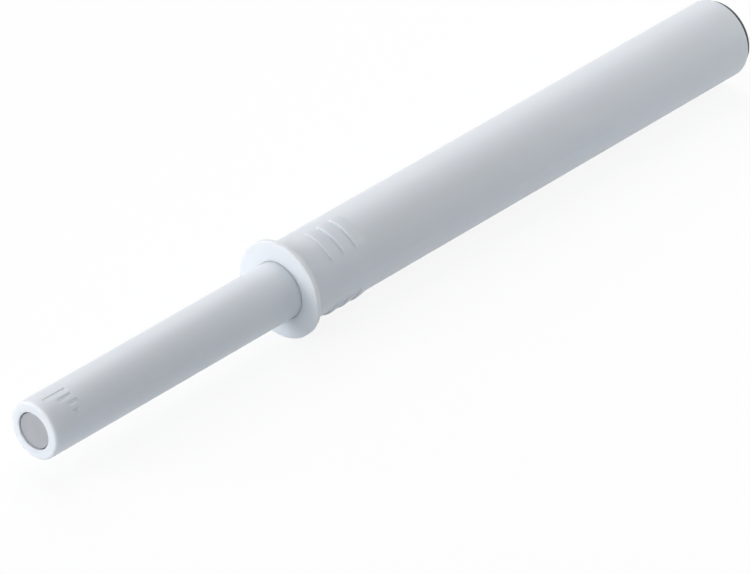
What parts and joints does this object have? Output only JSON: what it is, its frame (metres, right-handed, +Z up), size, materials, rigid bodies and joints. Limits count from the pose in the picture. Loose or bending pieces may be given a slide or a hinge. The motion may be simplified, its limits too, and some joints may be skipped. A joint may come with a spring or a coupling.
{
  "type": "magnetic touch latch",
  "caption": "Drill-in push-to-open latch for a cabinet door: a white barrel with a thin collar and barbs, and a long sprung plunger with a magnet in its rounded tip.",
  "frame": {"origin": "centre of the collar's rear face, which seats on the edge of the cabinet board", "axes": "+Y along the barrel towards its rear end, -Y towards the plunger's tip, +Z up"},
  "size_m": [0.0116, 0.1146, 0.0116],
  "materials": {
    "nylon": "satin moulded nylon",
    "dark_plastic": "satin moulded plastic",
    "natural_plastic": "smooth moulded acetal",
    "magnet": "dull nickel plate",
    "spring_steel": "drawn wire"
  },
  "bodies": {
    "housing": {"housing": "nylon", "index_sleeve": "natural_plastic", "rear_plug": "dark_plastic", "return_spring": "spring_steel"},
    "carrier": {"carrier": "natural_plastic"},
    "rotor": {"index_rotor": "natural_plastic"},
    "tip": {"magnet": "magnet"},
    "plunger": {"plunger_sleeve": "nylon"}
  },
  "joints": [
    {"name": "plunger_slide", "type": "slide", "parent": "housing", "child": "carrier", "axis": [0, 1, 0], "range_m": [0, 0.0374], "stiffness_N_per_m": 330, "springref_m": -0.006, "deforming": ["return_spring"]},
    {"name": "rotor_spin", "type": "hinge", "parent": "carrier", "child": "rotor", "pos_m": [0, 0.0307, 0], "axis": [0, 1, 0], "continuous": true},
    {"name": "plunger_turn", "type": "hinge", "parent": "tip", "child": "plunger", "pos_m": [0, -0.03, 0], "axis": [0, -1, 0], "range_deg": [-240, 960]},
    {"name": "tip_advance", "type": "slide", "parent": "carrier", "child": "tip", "axis": [0, -1, 0], "range_m": [-0.001, 0.004]}
  ],
  "couplings": [
    {"joint": "plunger_turn", "follows": "tip_advance", "rad_per_m": 4188.8}
  ]
}
